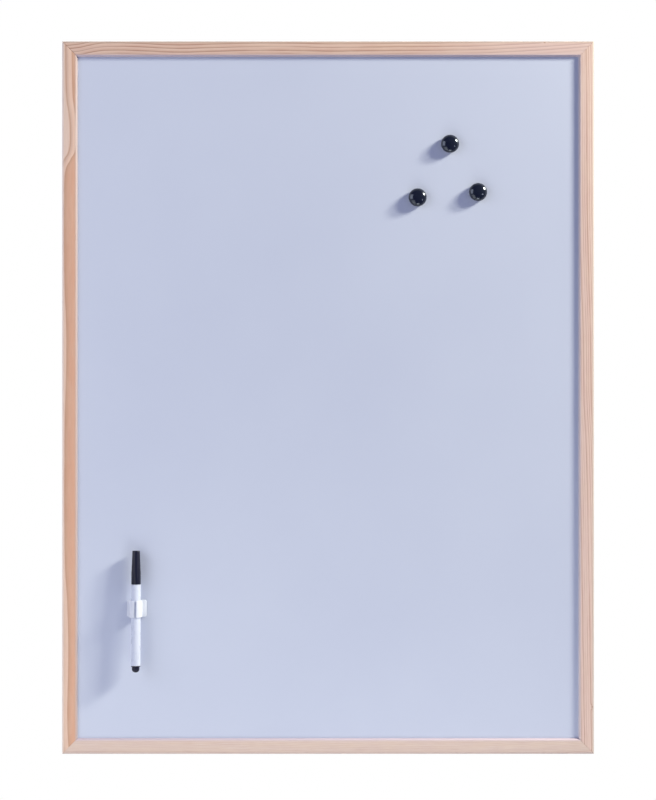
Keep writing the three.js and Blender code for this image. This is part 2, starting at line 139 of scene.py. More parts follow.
# %% Sockets that can be added and multiplied
class Wire:
    """An output socket that takes part in arithmetic."""

    def __init__(self, finish, socket):
        self.finish = finish
        self.socket = socket

    def sum_node(self, operation, *values):
        return self.finish.node("Math", {"operation": operation}, dict(enumerate(values)))

    def __add__(self, other):
        return self.sum_node("ADD", self, other)

    def __sub__(self, other):
        return self.sum_node("SUBTRACT", self, other)

    def __rsub__(self, other):
        return self.sum_node("SUBTRACT", other, self)

    def __mul__(self, other):
        return self.sum_node("MULTIPLY", self, other)

    def __truediv__(self, other):
        return self.sum_node("DIVIDE", self, other)

    def fraction(self):
        return self.sum_node("FRACT", self)

    def unsigned(self):
        return self.sum_node("ABSOLUTE", self)

    def fade(self):
        """1 where this is 0, and less and less where it grows."""
        return self.sum_node("EXPONENT", self * -1)

    def band(self, low, high):
        """0 below low and 1 above high, with a soft step between them."""
        settings = {"interpolation_type": "SMOOTHSTEP"}
        return self.finish.node("MapRange", settings, {"Value": self, 1: low, 2: high})

    __radd__ = __add__
    __rmul__ = __mul__


# %% [markdown]
# A second class holds one material on the Principled shader. It adds nodes,
# sets the stops of ramps and the points of curves, and gives short names to
# what the finishes below use most: the place on the object in millimetres,
# noise with cells of a given size, a blend, a ramp and a bump.

# %% Materials made by calls
class Finish:
    """A material on the Principled shader, with short ways to add nodes."""

    def __init__(self, name, **plain):
        self.material = bpy.data.materials.new(name)
        self.material.use_nodes = True
        self.tree = self.material.node_tree
        self.shader = self.tree.nodes["Principled BSDF"]
        for socket, value in plain.items():
            self.shader.inputs[socket.replace("_", " ")].default_value = value

    def node(self, kind, settings=None, sockets=None, output=0):
        node = self.tree.nodes.new("ShaderNode" + kind)
        for key, value in (settings or {}).items():
            if key == "stops":
                self.set_stops(node.color_ramp, value)
            elif key == "points":
                self.set_points(node.mapping, value)
            else:
                setattr(node, key, value)
        for key, value in (sockets or {}).items():
            self.plug(value, node.inputs[key])
        return Wire(self, node.outputs[output])

    def set_stops(self, ramp, stops):
        while len(ramp.elements) > 1:
            ramp.elements.remove(ramp.elements[-1])
        for place, colour in stops:
            stop = ramp.elements[0] if place == stops[0][0] else ramp.elements.new(place)
            stop.position, stop.color = place, colour

    def set_points(self, mapping, points):
        curve = mapping.curves[0]
        while len(curve.points) > 2:
            curve.points.remove(curve.points[1])
        curve.points[0].location, curve.points[1].location = points[0], points[-1]
        for spot in points[1:-1]:
            curve.points.new(*spot)
        mapping.update()

    def plug(self, value, socket):
        if isinstance(value, Wire):
            self.tree.links.new(value.socket, socket)
        else:
            socket.default_value = value

    def place(self):
        """The three Object coordinates, in millimetres."""
        spot = self.node("TexCoord", output="Object")
        scaled = self.node("VectorMath", {"operation": "SCALE"}, {0: spot, "Scale": 1000})
        return [self.node("SeparateXYZ", None, {0: scaled}, axis) for axis in "XYZ"]

    def noise(self, place, cells, detail=2.0, roughness=0.5):
        """Noise from -1 to 1. Its cells have one size, or one size for each axis."""
        sizes = cells if isinstance(cells, tuple) else (cells,) * 3
        spot = [value if size == 1 else value / size for value, size in zip(place, sizes)]
        vector = self.node("CombineXYZ", None, dict(zip("XYZ", spot)))
        sockets = {"Vector": vector, "Scale": 1, "Detail": detail, "Roughness": roughness}
        return self.node("TexNoise", None, sockets, "Fac") * 2 - 1

    def blend(self, amount, first, second, way="MIX"):
        settings = {"data_type": "RGBA", "blend_type": way}
        return self.node("Mix", settings, {0: amount, 6: first, 7: second}, 2)

    def ramp(self, value, stops):
        return self.node("ValToRGB", {"stops": stops}, {"Fac": value}, "Color")

    def mottled(self, noise, dark, light, ends=(0.2, 0.8)):
        """A colour between two tints, as noise from -1 to 1 says."""
        return self.ramp(noise * 0.5 + 0.5, [(ends[0], dark), (ends[1], light)])

    def raise_by(self, height, distance, strength=1.0):
        """Bump from a height that runs from 0 to 1 and stands for a distance in mm."""
        sockets = {"Height": height, "Distance": distance / 1000, "Strength": strength}
        self.plug(self.node("Bump", None, sockets), self.shader.inputs["Normal"])

    def use(self, **wires):
        for socket, value in wires.items():
            self.plug(value, self.shader.inputs[socket.replace("_", " ")])


# %% Colours as they look on screen
def tint(red, green, blue):
    """A colour given as it looks on screen, 0 to 255, as the shader wants it."""
    shares = [value / 255 for value in (red, green, blue)]
    return (*(s / 12.92 if s <= 0.04045 else ((s + 0.055) / 1.055) ** 2.4 for s in shares), 1.0)


print("white as the shader wants it:", tint(255, 255, 255))

# %% [markdown]
# ## The surroundings
#
# The background is pure white, while the light from the room is much dimmer
# and slightly blue. One world can be both: what the camera, a reflection or
# clear plastic sees is white at strength 1, and what lights the object is
# the room. The Light Path node tells the two apart.
#
# A reflection is white only where it looks past the board. One that looks
# towards the photographer's side sees the dim room, as it would in a studio, so
# the black magnets stay black and the lamps stand out in them as bright spots.

# %% Room light with a white background
ROOM_LIGHT = (0.05, 0.065, 0.20, 1.0)
WHITE_FROM, WHITE_AT = -0.35, 0.05

world = bpy.data.worlds.new("room")
world.use_nodes = True
scene.world = world
room_nodes, room_links = world.node_tree.nodes, world.node_tree.links
room_nodes.clear()


def room_node(kind, **settings):
    node = room_nodes.new("ShaderNode" + kind)
    for key, value in settings.items():
        setattr(node, key, value)
    return node


path = room_node("LightPath")
heading, parts = room_node("TexCoord"), room_node("SeparateXYZ")
behind = room_node("MapRange")
behind.inputs["From Min"].default_value = WHITE_FROM
behind.inputs["From Max"].default_value = WHITE_AT
mirrored = room_node("Math", operation="MULTIPLY")
seen = room_node("Math", operation="MAXIMUM")
seen_or_clear = room_node("Math", operation="MAXIMUM")
dim, white = room_node("Background"), room_node("Background")
dim.inputs["Color"].default_value = ROOM_LIGHT
white.inputs["Color"].default_value = (1, 1, 1, 1)
choice, out = room_node("MixShader"), room_node("OutputWorld")
for start, end in (
    (path.outputs["Is Camera Ray"], seen.inputs[0]),
    (heading.outputs["Generated"], parts.inputs[0]),
    (parts.outputs["Y"], behind.inputs["Value"]),
    (behind.outputs["Result"], mirrored.inputs[0]),
    (path.outputs["Is Glossy Ray"], mirrored.inputs[1]),
    (mirrored.outputs[0], seen.inputs[1]),
    (seen.outputs[0], seen_or_clear.inputs[0]),
    (path.outputs["Is Transmission Ray"], seen_or_clear.inputs[1]),
    (seen_or_clear.outputs[0], choice.inputs[0]),
    (dim.outputs[0], choice.inputs[1]),
    (white.outputs[0], choice.inputs[2]),
    (choice.outputs[0], out.inputs["Surface"]),
):
    room_links.new(start, end)
scene.view_settings.view_transform = "Standard"
print("world nodes:", len(room_nodes))

# %% [markdown]
# ## The floor
#
# The board hangs, so its floor lies well below it. It is a plain pale sheet
# that catches the board's shadow. Its rim fades to clear, so that no edge of
# it shows against the white background.

# %% Floor
FLOOR_DROP = 0.95
FLOOR_CENTRE = (-0.65, 0.25)
FLOOR_HALF = 1.5
FADE_SHARES = (0.55, 0.97)

bpy.ops.mesh.primitive_plane_add(size=2 * FLOOR_HALF, location=(*FLOOR_CENTRE, -FLOOR_DROP))
floor = bpy.context.object
floor.name = "floor"
pale = Finish("pale_floor", Base_Color=tint(214, 214, 214), Roughness=0.9)
east, north, _ = pale.place()
spot = pale.node("CombineXYZ", None, {"X": east, "Y": north})
away = pale.node("VectorMath", {"operation": "LENGTH"}, {0: spot}, "Value")
pale.use(Alpha=1 - away.band(*(share * FLOOR_HALF * 1000 for share in FADE_SHARES)))
floor.data.materials.append(pale.material)
print("floor height, m:", -FLOOR_DROP)

# %% [markdown]
# ## Helpers for modelling by operators
#
# The pieces are modelled as by hand: add a primitive, go into edit mode,
# select by place, extrude, bevel or cut. A few helpers keep that short. One
# adds a primitive with nothing else selected, one opens edit mode for a
# block of lines, and one selects what passes a test. All sizes are written
# in millimetres, and Blender works in metres.

# %% Units, primitives and edit mode
MM = 0.001
CRISP_ANGLE = 32


def mm(*values):
    """Millimetres to metres."""
    return tuple(value * MM for value in values)


def only(*pieces):
    """Select these objects and nothing else. The first is the active one."""
    bpy.ops.object.select_all(action="DESELECT")
    for piece in pieces:
        piece.select_set(True)
    bpy.context.view_layer.objects.active = pieces[0]


def add(name, operator, **options):
    """Add a primitive, name it, and put its place and size into its mesh."""
    bpy.ops.object.select_all(action="DESELECT")
    operator(**options)
    piece = bpy.context.object
    piece.name = piece.data.name = name
    bpy.ops.object.transform_apply(location=True, rotation=True, scale=True)
    return piece


def block(name, low, high):
    """A block between two corners, in millimetres."""
    middle = mm(*((a + b) / 2 for a, b in zip(low, high)))
    size = mm(*(b - a for a, b in zip(low, high)))
    return add(name, bpy.ops.mesh.primitive_cube_add, size=1, location=middle, scale=size)


@contextmanager
def editing(piece):
    only(piece)
    bpy.ops.object.mode_set(mode="EDIT")
    yield
    bpy.ops.object.mode_set(mode="OBJECT")


# %% Selecting by place and direction
def middle_of(part):
    """The middle of a face or an edge, or a point itself, in millimetres."""
    if isinstance(part, bmesh.types.BMVert):
        return part.co * 1000
    points = [point.co for point in part.verts]
    return sum(points, Vector()) / len(points) * 1000


def pick(piece, kind, test):
    """In edit mode, select the points, edges or faces that pass a test."""
    bpy.ops.mesh.select_mode(type=kind)
    bpy.ops.mesh.select_all(action="DESELECT")
    shape = bmesh.from_edit_mesh(piece.data)
    for part in {"VERT": shape.verts, "EDGE": shape.edges, "FACE": shape.faces}[kind]:
        if test(part):
            part.select_set(True)
    shape.select_flush_mode()
    bmesh.update_edit_mesh(piece.data)


def near(value, target, slack=0.01):
    return abs(value - target) < slack


def along(edge, axis):
    """True if an edge runs along the axis with this number: 0, 1 or 2."""
    way = (edge.verts[1].co - edge.verts[0].co).normalized()
    return abs(way[axis]) > 0.999


# %% Shaping, cutting and handing over
def push(*distance):
    """Extrude what is selected by a distance in millimetres."""
    bpy.ops.mesh.extrude_region_move(TRANSFORM_OT_translate={"value": mm(*distance)})


def round_off(width, segments):
    """Bevel the selected edges, in millimetres."""
    bpy.ops.mesh.bevel(offset=width * MM, segments=segments, affect="EDGES")


def set_in_place(piece, place, turn=(0, 0, 0)):
    """Turn a piece about the origin, move it, and put both into its mesh."""
    only(piece)
    piece.rotation_euler = turn
    piece.location = mm(*place)
    bpy.ops.object.transform_apply(location=True, rotation=True, scale=True)


def combine(piece, other, operation):
    """Cut the other shape out of the piece, or join it on."""
    only(piece)
    modifier = piece.modifiers.new(operation.lower(), "BOOLEAN")
    modifier.operation, modifier.solver, modifier.object = operation, "EXACT", other
    bpy.ops.object.modifier_apply(modifier=modifier.name)
    only(other)
    bpy.ops.object.delete()


def hand_over(piece, body, node, finish):
    """Give a shaped piece its shading, finish and body, and hide the CAD node it stands for.

    Round parts are shaded smooth, and real edges stay crisp.
    """
    only(piece)
    bpy.ops.object.shade_smooth_by_angle(angle=math.radians(CRISP_ANGLE))
    piece.data.materials.clear()
    piece.data.materials.append(finish.material)
    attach(piece, body)
    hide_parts(node)
    print(piece.name, "faces:", len(piece.data.polygons))


# %% [markdown]
# ## Turned shapes
#
# The marker, the magnets and the screws are all round. Such a shape could be
# spun from a drawn outline, which has to be welded along its seam afterwards.
# Here it is drawn out like clay on a wheel instead: a ring of points is
# extruded and scaled from one station to the next, so there is no seam. A
# station is a radius and a height. A piece closes at both ends with a very
# small ring. A function gives the stations of a rounded corner.

# %% Turning
RING_POINTS = 96
CLOSING = 0.3


def corner(centre_radius, centre_height, size, first, last, steps=5):
    """Stations of a round corner, between two angles in degrees (0 points outwards)."""
    angles = [math.radians(first + (last - first) * i / steps) for i in range(steps + 1)]
    return [(centre_radius + size * math.cos(a), centre_height + size * math.sin(a)) for a in angles]


def turned(name, stations, tube=False, points=RING_POINTS):
    """A round piece on the Z axis, drawn out from station to station."""
    radius, height = stations[0]
    piece = add(name, bpy.ops.mesh.primitive_circle_add, vertices=points,
                radius=radius * MM, location=mm(0, 0, height), fill_type="NOTHING")
    with editing(piece):
        bpy.ops.mesh.select_all(action="SELECT")
        if not tube:
            bpy.ops.mesh.edge_face_add()
            pick(piece, "EDGE", lambda edge: True)
        for (r0, z0), (r1, z1) in zip(stations, stations[1:]):
            bpy.ops.mesh.extrude_edges_move(TRANSFORM_OT_translate={"value": mm(0, 0, z1 - z0)})
            bpy.ops.transform.resize(value=(r1 / r0, r1 / r0, 1), center_override=(0, 0, 0))
        if tube:
            bpy.ops.mesh.select_all(action="SELECT")
            bpy.ops.mesh.remove_doubles(threshold=0.002 * MM)
        else:
            bpy.ops.mesh.edge_face_add()
        bpy.ops.mesh.select_all(action="SELECT")
        bpy.ops.mesh.normals_make_consistent(inside=False)
    return piece


# %% [markdown]
# ## Pine
#
# Pine shows its yearly rings as bands: soft pale wood that darkens slowly to
# a hard reddish line and then jumps back to pale. How a rail was sawn decides
# what its face shows. Across the rings it shows straight close lines, and
# along them it shows broad wandering bands.
#
# The finish therefore starts from one ring line: a Float Curve says how far
# from the rail's outer edge it runs, all along the rail. The distance from
# that line, in three dimensions, then gives the colour, so the bands run
# over the rounded edges as in real wood. Where the rings are close, the
# distance is divided by their width and only its fraction counts. No ring is
# equally strong all along a board, so slow noise washes parts of them out and
# lays soft pale patches over them. Where one ring stands out from the others,
# as it does on the right rail, it gets a reddish line of its own. The top
# rail also grows paler towards one end.

# %% The ring line of a rail
HALF_WIDTH, HALF_HEIGHT = 299, 400.5
RAIL_WIDTH, RAIL_DEPTH = 17, 16
OUTER_EDGES = {"top": (2, HALF_HEIGHT, -1), "bottom": (2, -HALF_HEIGHT, 1),
               "left": (0, -HALF_WIDTH, 1), "right": (0, HALF_WIDTH, -1)}
RUN_LOW, RUN_SPAN = -10, 30
RING_LEAN = 0.4
WAVER_CELLS = (42, 16, 1)


def rail_place(wood, side):
    """In millimetres: along a rail, in from its outer edge, and forwards from its back."""
    place = wood.place()
    axis, edge, way = OUTER_EDGES[side]
    return place[2 - axis], (place[axis] - edge) * way, place[1] * -1


def ring_distance(wood, length, height, depth, run, seed, wander):
    """The distance from the ring line. Its run is a list of places along and in from the edge."""
    reach = max(abs(run[0][0]), abs(run[-1][0]))
    points = [((u + reach) / (2 * reach), (h - RUN_LOW) / RUN_SPAN) for u, h in run]
    line = wood.node("FloatCurve", {"points": points}, {"Value": (length + reach) / (2 * reach)})
    waver = wood.noise((length, height, seed), WAVER_CELLS) * wander
    return height - (line * RUN_SPAN + RUN_LOW) + (RAIL_DEPTH - depth) * RING_LEAN + waver


print("rail section, mm:", RAIL_WIDTH, "by", RAIL_DEPTH)

# %% Colours of the rings
BROAD_REACH = 16
RED_LINE = tint(176, 132, 116)


def ring_colours(wood, length, distance, bands, seed, ring_width, accent):
    if ring_width:
        years = wood.noise((distance, seed, 0.5), (ring_width * 2.3, 1, 1), 1.0) * 0.45
        ring = (distance / ring_width + years + 50).fraction()
        washed = wood.noise((length, distance, seed + 3), (130, ring_width * 1.2, 1))
        colour = wood.blend(washed.band(-0.05, 0.4) * 0.7, wood.ramp(ring, bands), bands[0][1])
    else:
        colour = wood.ramp((distance + BROAD_REACH) / (2 * BROAD_REACH), bands)
    if accent:
        on_line = 1 - distance.unsigned().band(0.1, 0.75)
        colour = wood.blend(on_line * accent, colour, RED_LINE)
    return colour


# %% [markdown]
# Fine fibres along the rail, short dark resin ducts and a small knot complete
# the wood. Late wood is harder and shines a little more. Some tones of the
# rails are painted light. The rounded outer edge has a tone of its own on each
# rail: a painted highlight on the left rail, where a white wall lights that
# edge, and painted shade on the top and the right rail, which face the main
# lamp. The outer sides of those two rails are darkened too, as painted shade,
# so that the main lamp doesn't burn them out. The narrow bevel inside is
# greyer than the front: painted shade on the left rail, whose bevel faces the
# main lamp, and painted light on the right rail, whose bevel faces away.

# %% Pine finish
CLOUD_CELLS, FIBRE_CELLS, DUCT_CELLS = (30, 7, 1), (15, 0.5, 0.5), (4, 0.2, 0.2)
# The third tint here darkens the outer sides that face the main lamp: painted shade.
PALE_PATCH, PALE_WOOD, PAINTED_SIDE_SHADE = tint(226, 207, 186), tint(222, 203, 205), tint(205, 200, 200)
FIBRE, RESIN, KNOT = tint(182, 140, 120), tint(160, 114, 92), tint(138, 94, 70)
KNOT_BULGE = 1.6
ROUND_DEPTHS = (12.2, 14.0)
BEVEL_START, BEVEL_DEPTH, BEVEL_BLUR = 15.3, 12.5, 0.2


def pine(side, run, bands, rim, inside, seed, ring_width=None, wander=0.5, accent=0.0, patch=0.2,
         knot=None, painted_side_shade=0.0, pale_end=0.0):
    """Pine for one rail. A knot is its place along and in from the edge, and its size, in mm."""
    wood = Finish("pine_" + side, Specular_IOR_Level=0.3)
    length, height, depth = rail_place(wood, side)
    distance = ring_distance(wood, length, height, depth, run, seed, wander)
    if knot:
        du, dv = (length - knot[0]) / knot[2], (height - knot[1]) / knot[2]
        distance = distance + (du * du * 0.2 + dv * dv).fade() * KNOT_BULGE
    colour = ring_colours(wood, length, distance, bands, seed, ring_width, accent)
    cloud = wood.noise((length, height, seed + 7), CLOUD_CELLS)
    colour = wood.blend(cloud.band(-0.4, 0.5) * patch, colour, PALE_PATCH)
    fibre = wood.noise((length, height, depth + seed * 0.5), FIBRE_CELLS, 3.0, 0.6)
    colour = wood.blend(fibre.band(-0.3, 0.5) * 0.22, colour, FIBRE)
    duct = wood.noise((length, height, depth + seed * 0.4), DUCT_CELLS, 1.0)
    colour = wood.blend(duct.band(0.5, 0.7) * 0.22, colour, RESIN)
    if pale_end:
        colour = wood.blend(length.band(60, 260) * pale_end, colour, PALE_WOOD)
    front = depth.band(*ROUND_DEPTHS)
    # Painted shade: the outer sides of the top and the right rail face the main lamp, and are darkened so
    # that they don't burn out.
    if painted_side_shade:
        side_shade_mask = (1 - height.band(0.05, 0.6)) * (1 - front)
        colour = wood.blend(side_shade_mask * painted_side_shade, colour, PAINTED_SIDE_SHADE, "MULTIPLY")
    # Painted light: the rounded outer edge gets its own tone on each rail, a painted highlight on the
    # left rail and painted shade on the top and right rails, which face the main lamp.
    colour = wood.blend((1 - height.band(0.7, 3.2)) * front * 0.8, colour, rim)
    # Painted light: the inner bevel, and faintly a strip of the front beside it, take a greyer tone,
    # darker on the left rail, whose bevel faces the main lamp, and paler on the right rail, whose bevel
    # faces away.
    colour = wood.blend(height.band(13.0, 15.6) * 0.3, colour, inside)
    bevel = height.band(BEVEL_START, BEVEL_START + BEVEL_BLUR)
    bevel = bevel * depth.band(BEVEL_DEPTH, BEVEL_DEPTH + BEVEL_BLUR)
    colour = wood.blend(bevel * 0.8, colour, inside)
    if knot:
        colour = wood.blend((du * du * 3 + dv * dv * 2).fade() * 0.8, colour, KNOT)
    wood.use(Base_Color=colour, Roughness=0.64 - fibre * 0.05)
    wood.raise_by(fibre * 0.5 + 0.5, 0.05, 0.6)
    return wood


# %% [markdown]
# ## The rails
#
# Each rail is a straight bar of one section, mitred at both ends. It starts
# as a block on the bench, with its outer edge upwards. Two cuts across its
# section mark the groove, whose strip is pushed into the wood. Then the long
# edges are worked: a round at the front outside, a bevel at the front inside,
# and a little easing at the back. Only after that are the ends cut at 45
# degrees, so that the section runs cleanly into the joint. The front edges of
# the joint are eased by a hair, which gives the thin dark line that a real
# mitre shows. The line at the top left is the widest.

# %% Shape of one rail on the bench
FACE_DEPTH = 12.4
GROOVE_BACK, GROOVE_REACH = 8.3, 6
OUTER_ROUND, INNER_SLOPE, BACK_EASE = 2.0, 1.6, 0.6
SLOPE_FRONT_EASE, SLOPE_BACK_EASE = 0.35, 0.15
MITRE_SET_BACK = 0.02
MITRE_EASE = {"top_left": 0.42, "top_right": 0.2, "bottom_left": 0.2, "bottom_right": 0.24}


def mitre(tip, end):
    """Cut one end of a bar at 45 degrees; end is -1 or 1."""
    bpy.ops.mesh.select_all(action="SELECT")
    bpy.ops.mesh.bisect(plane_co=mm(end * tip, 0, 0), plane_no=(end, 0, -1),
                        use_fill=True, clear_outer=True, threshold=1e-7)


def rail_blank(name, length, eases):
    bar = block(name, (-length / 2, -RAIL_DEPTH, -RAIL_WIDTH), (length / 2, 0, 0))
    tip = length / 2 - MITRE_SET_BACK * math.sqrt(2)
    with editing(bar):
        for depth in (FACE_DEPTH, GROOVE_BACK):
            bpy.ops.mesh.select_all(action="SELECT")
            bpy.ops.mesh.bisect(plane_co=mm(0, -depth, 0), plane_no=(0, 1, 0), threshold=1e-7)
        strip = -(FACE_DEPTH + GROOVE_BACK) / 2
        pick(bar, "FACE", lambda face: face.normal.z < -0.9 and near(middle_of(face).y, strip))
        push(0, 0, GROOVE_REACH)
        for place_y, place_z, width, segments in (
            (-RAIL_DEPTH, 0, OUTER_ROUND, 8),
            (-RAIL_DEPTH, -RAIL_WIDTH, INNER_SLOPE, 1),
            (-RAIL_DEPTH, INNER_SLOPE - RAIL_WIDTH, SLOPE_FRONT_EASE, 3),
            (INNER_SLOPE - RAIL_DEPTH, -RAIL_WIDTH, SLOPE_BACK_EASE, 2),
            (0, 0, BACK_EASE, 3),
            (0, -RAIL_WIDTH, BACK_EASE, 3),
        ):
            pick(bar, "EDGE", lambda edge: along(edge, 0)
                 and near(middle_of(edge).y, place_y) and near(middle_of(edge).z, place_z))
            round_off(width, segments)
        for end, ease in zip((-1, 1), eases):
            mitre(tip, end)
            pick(bar, "EDGE", lambda edge: middle_of(edge).y < -FACE_DEPTH - 0.1
                 and all(near((end * p.co.x - p.co.z) * 1000, tip, 0.005) for p in edge.verts))
            round_off(ease, 1)
    return bar


# %% [markdown]
# The back of the frame holds steel. Two V-nails are pressed into each corner,
# and the top rail carries two toothed plates, each let into the wood and held
# by two screws. The rails lose the same shapes: an L for each nail, a flat
# bed for each plate, and a hole for each screw. The L starts as a small
# square post at the corner, whose two sides are pulled out into legs.

# %% Cutters for nails, plates and screws
NAIL_THICK, NAIL_LEG, NAIL_SINK = 0.8, 6.46, 6.525
NAIL_INSETS = (3.4, 8.84)
PLATE_X, PLATE_LOW, PLATE_HIGH = 149.5, 372.0, 396.08
PLATE_HALF, PLATE_THICK, PLATE_CORNER, BED_SLACK = 23, 1.2, 3, 0.3
SCREW_REACH, SCREW_Z = 18, 389.79
TIP_RADIUS, SHANK_RADIUS, HEAD_RADIUS, SCREW_LENGTH = 0.12, 1.3, 2.8, 7.138
LIE_BACK = (-math.pi / 2, 0, 0)
CORNER_TURNS = {"bottom_left": (0, -1, -1), "top_left": (1, -1, 1),
                "top_right": (2, 1, 1), "bottom_right": (3, 1, -1)}


def nail_cutter(turn, x_side, z_side, inset):
    slack = 0.05
    post = block("nail_cutter", (-slack, -NAIL_SINK - slack, -slack),
                 (NAIL_THICK + slack, 1, NAIL_THICK + slack))
    with editing(post):
        for axis in (0, 2):
            pick(post, "FACE", lambda face: face.normal[axis] > 0.9
                 and near(middle_of(face)[2 - axis], NAIL_THICK / 2, 0.1))
            reach = [0, 0, 0]
            reach[axis] = NAIL_LEG - NAIL_THICK
            push(*reach)
    set_in_place(post, (x_side * (HALF_WIDTH - inset), 0, z_side * (HALF_HEIGHT - inset)),
                 (0, turn * math.pi / 2, 0))
    return post


def rounded_block(name, low, high, radius, segments=6):
    """A block whose four edges along Y are rounded."""
    plate = block(name, low, high)
    with editing(plate):
        pick(plate, "EDGE", lambda edge: along(edge, 1))
        round_off(radius, segments)
    return plate


def screw_hole(x, grow, points):
    """The shape of a countersunk hole that is wider than its screw by so much all round."""
    shank, head, end = SHANK_RADIUS + grow, HEAD_RADIUS + grow, -SCREW_LENGTH - grow
    stations = [(TIP_RADIUS, end), (shank, end + 2), (shank, -1.6 - grow), (head, -0.3 - grow), (head, 1)]
    hole = turned("hole", stations, points=points)
    set_in_place(hole, (x, 0, SCREW_Z), LIE_BACK)
    return hole


# %% [markdown]
# Now the four rails are made, cut, turned and moved to their sides of the
# frame. Each gets its own pine. On the real board the top rail shows long
# wavy lines, the bottom and the right rail show fine straight grain, and the
# left rail was sawn flat through one broad warm band.

# %% Rail places and pines
RAIL_PLACES = {
    "top": (2 * HALF_WIDTH, 0, (0, 0, HALF_HEIGHT), ("top_left", "top_right")),
    "right": (2 * HALF_HEIGHT, 1, (HALF_WIDTH, 0, 0), ("top_right", "bottom_right")),
    "bottom": (2 * HALF_WIDTH, 2, (0, 0, -HALF_HEIGHT), ("bottom_right", "bottom_left")),
    "left": (2 * HALF_HEIGHT, 3, (-HALF_WIDTH, 0, 0), ("bottom_left", "top_left")),
}
TOP_BANDS = [(0.0, tint(216, 188, 174)), (0.3, tint(214, 182, 165)), (0.6, tint(204, 170, 153)),
             (0.8, tint(175, 136, 120)), (0.93, tint(166, 127, 110)), (1.0, tint(212, 182, 169))]
PALE_BANDS = [(0.0, tint(218, 199, 190)), (0.4, tint(216, 196, 187)), (0.75, tint(214, 191, 180)),
              (0.9, tint(199, 173, 160)), (1.0, tint(218, 199, 190))]
FINE_BANDS = [(0.0, tint(224, 199, 190)), (0.4, tint(220, 193, 184)), (0.66, tint(211, 181, 171)),
              (0.84, tint(183, 145, 131)), (0.94, tint(184, 146, 132)), (1.0, tint(223, 197, 188))]
BROAD_BANDS = [(0.0, tint(231, 205, 189)), (0.23, tint(229, 203, 187)), (0.265, tint(219, 187, 166)),
               (0.288, tint(190, 149, 128)), (0.305, tint(205, 169, 149)), (0.35, tint(217, 185, 166)),
               (0.41, tint(229, 196, 176)), (0.475, tint(231, 199, 179)), (0.492, tint(215, 176, 154)),
               (0.506, tint(194, 150, 127)), (0.54, tint(204, 160, 134)), (0.62, tint(213, 166, 140)),
               (0.85, tint(217, 169, 142)), (1.0, tint(213, 169, 142))]
# After its bands, each rail gets two tints of painted light: one for its rounded outer edge and one for
# its inner bevel.
PINE = {
    "top": pine("top", [(-299, 14.2), (-285, 12.6), (-279, 11.8), (-267.7, 9.4), (-257, 7.6),
                        (-248, 6.9), (-232, 6.9), (-209, 7.6), (-166, 9.0), (-135, 8.2), (-110, 7.6),
                        (-60, 7.0), (0, 7.8), (80, 7.2), (163, 6.5), (212, 4.5), (260, 1.5), (299, -1.5)],
                TOP_BANDS, tint(182, 163, 151), tint(206, 193, 204), 1.7, 4.0, 0.5,
                knot=(243.5, 1.2, 1.4), painted_side_shade=1.0, pale_end=0.38),
    "right": pine("right", [(-401, -5), (-300, -3.5), (-120, -0.6), (-60, 0.8), (-10, 3.2), (75, 4.6),
                            (130, 6.4), (203, 8.0), (330, 8.6), (401, 9.4)],
                  FINE_BANDS, tint(183, 174, 167), tint(216, 204, 206), 5.2, 2.7, 0.5, accent=0.55,
                  knot=(-347.6, 2.4, 1.4), painted_side_shade=1.0),
    "bottom": pine("bottom", [(-299, 2.4), (-180, 3.2), (-100, 1.6), (120, -2.4), (299, 4)],
                   PALE_BANDS, tint(207, 185, 176), tint(200, 186, 200), 9.1, 1.9, 0.4,
                   accent=0.35, patch=0.3),
    "left": pine("left", [(-401, 11), (-362, 6.2), (-290, 7.4), (-235, 6.2), (-176, 3.4), (-47, 3.2),
                          (60, 5.2), (140, 2.8), (222, 2.4), (245, 3.0), (268, 10), (293, 16.4),
                          (345, 11.8), (401, 11)],
                 BROAD_BANDS, tint(246, 230, 218), tint(173, 160, 162), 13.4, None, 0.35, patch=0.14),
}
print("pine nodes:", {side: len(wood.tree.nodes) for side, wood in PINE.items()})

# %% Make the four rails
rails = {}
for side, (length, turn, place, ends) in RAIL_PLACES.items():
    rail = rail_blank("pine_rail_" + side, length, [MITRE_EASE[end] for end in ends])
    set_in_place(rail, place, (0, turn * math.pi / 2, 0))
    for end in ends:
        corner_turn, x_side, z_side = CORNER_TURNS[end]
        for inset in NAIL_INSETS:
            combine(rail, nail_cutter(corner_turn, x_side, z_side, inset), "DIFFERENCE")
    rails[side] = rail

for sign in (-1, 1):
    middle, half = sign * PLATE_X, PLATE_HALF + BED_SLACK
    bed = rounded_block("bed", (middle - half, -PLATE_THICK, PLATE_LOW - BED_SLACK),
                        (middle + half, 1, PLATE_HIGH + BED_SLACK), PLATE_CORNER + BED_SLACK)
    combine(rails["top"], bed, "DIFFERENCE")
    for step in (-1, 1):
        hole = screw_hole(middle + step * SCREW_REACH, 0.1, 24)
        combine(rails["top"], hole, "DIFFERENCE")

for side, rail in rails.items():
    hand_over(rail, "board", "rail_" + side, PINE[side])

# %% [markdown]
# ## The panel
#
# The writing face is thin steel under satin lacquer, a pale grey blue. Its
# CAD sheet is already right, so it only gets a finish. Sprayed lacquer is
# never quite flat: it has a faint orange-peel relief, and wiping leaves the
# gloss slightly uneven. Behind it are the hardboard core, a matt brown board
# of pressed fibres, and a thin grey liner.

# %% Finishes of the panel
def satin_lacquer():
    coat = Finish("satin_lacquer", Specular_IOR_Level=0.3)
    place = coat.place()
    cloud = coat.noise(place, (160, 1, 190))
    colour = coat.mottled(cloud, tint(195, 202, 222), tint(199, 206, 225), (0.25, 0.75))
    wiped = coat.noise(place, (55, 1, 130), 4.0, 0.6)
    coat.use(Base_Color=colour, Roughness=0.42 + wiped * 0.05)
    coat.raise_by(coat.noise(place, 1.8) * 0.5 + 0.5, 0.004, 0.5)
    return coat


